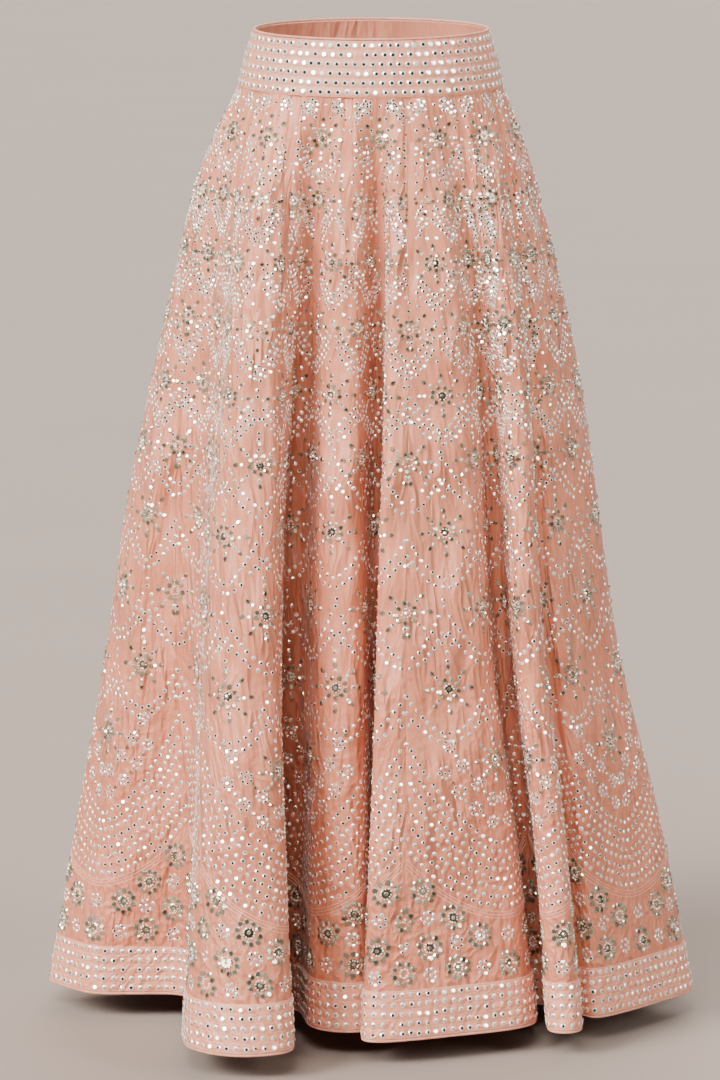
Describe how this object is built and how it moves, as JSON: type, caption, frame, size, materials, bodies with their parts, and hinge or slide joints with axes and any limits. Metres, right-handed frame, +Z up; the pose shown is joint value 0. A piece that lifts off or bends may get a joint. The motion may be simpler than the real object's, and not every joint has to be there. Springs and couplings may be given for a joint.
{
  "type": "lehenga skirt",
  "caption": "Worn, floor-length flared panel skirt with shaped waistband, deep folds, hem border and piping, set all over with small mirrors.",
  "frame": {"origin": "middle of the waist opening, level with the band's top edge at the side seams", "axes": "+Z up, -Y to the front of the wearer, +X to the wearer's left"},
  "size_m": [0.6912, 0.6494, 1.0339],
  "materials": {
    "silk": "peach pink silk, soft sheen, fine slub weave",
    "piping": "rolled silk edge, a little lighter",
    "thread": "pale pink sewing and tuck lines",
    "mirror": "small flat foil mirrors with a stitched rim",
    "stone": "pale champagne drop stones and beads"
  },
  "bodies": {
    "root": {"kali_01": "silk", "kali_02": "silk", "kali_03": "silk", "kali_04": "silk", "kali_05": "silk", "kali_06": "silk", "kali_07": "silk", "kali_08": "silk", "kali_09": "silk", "kali_10": "silk", "kali_11": "silk", "kali_12": "silk", "kali_13": "silk", "kali_14": "silk", "waistband_front": "silk", "waistband_back": "silk", "hem_border_front": "silk", "hem_border_back": "silk", "waist_piping": "piping", "hem_piping_front": "piping", "hem_piping_back": "piping"}
  },
  "joints": []
}
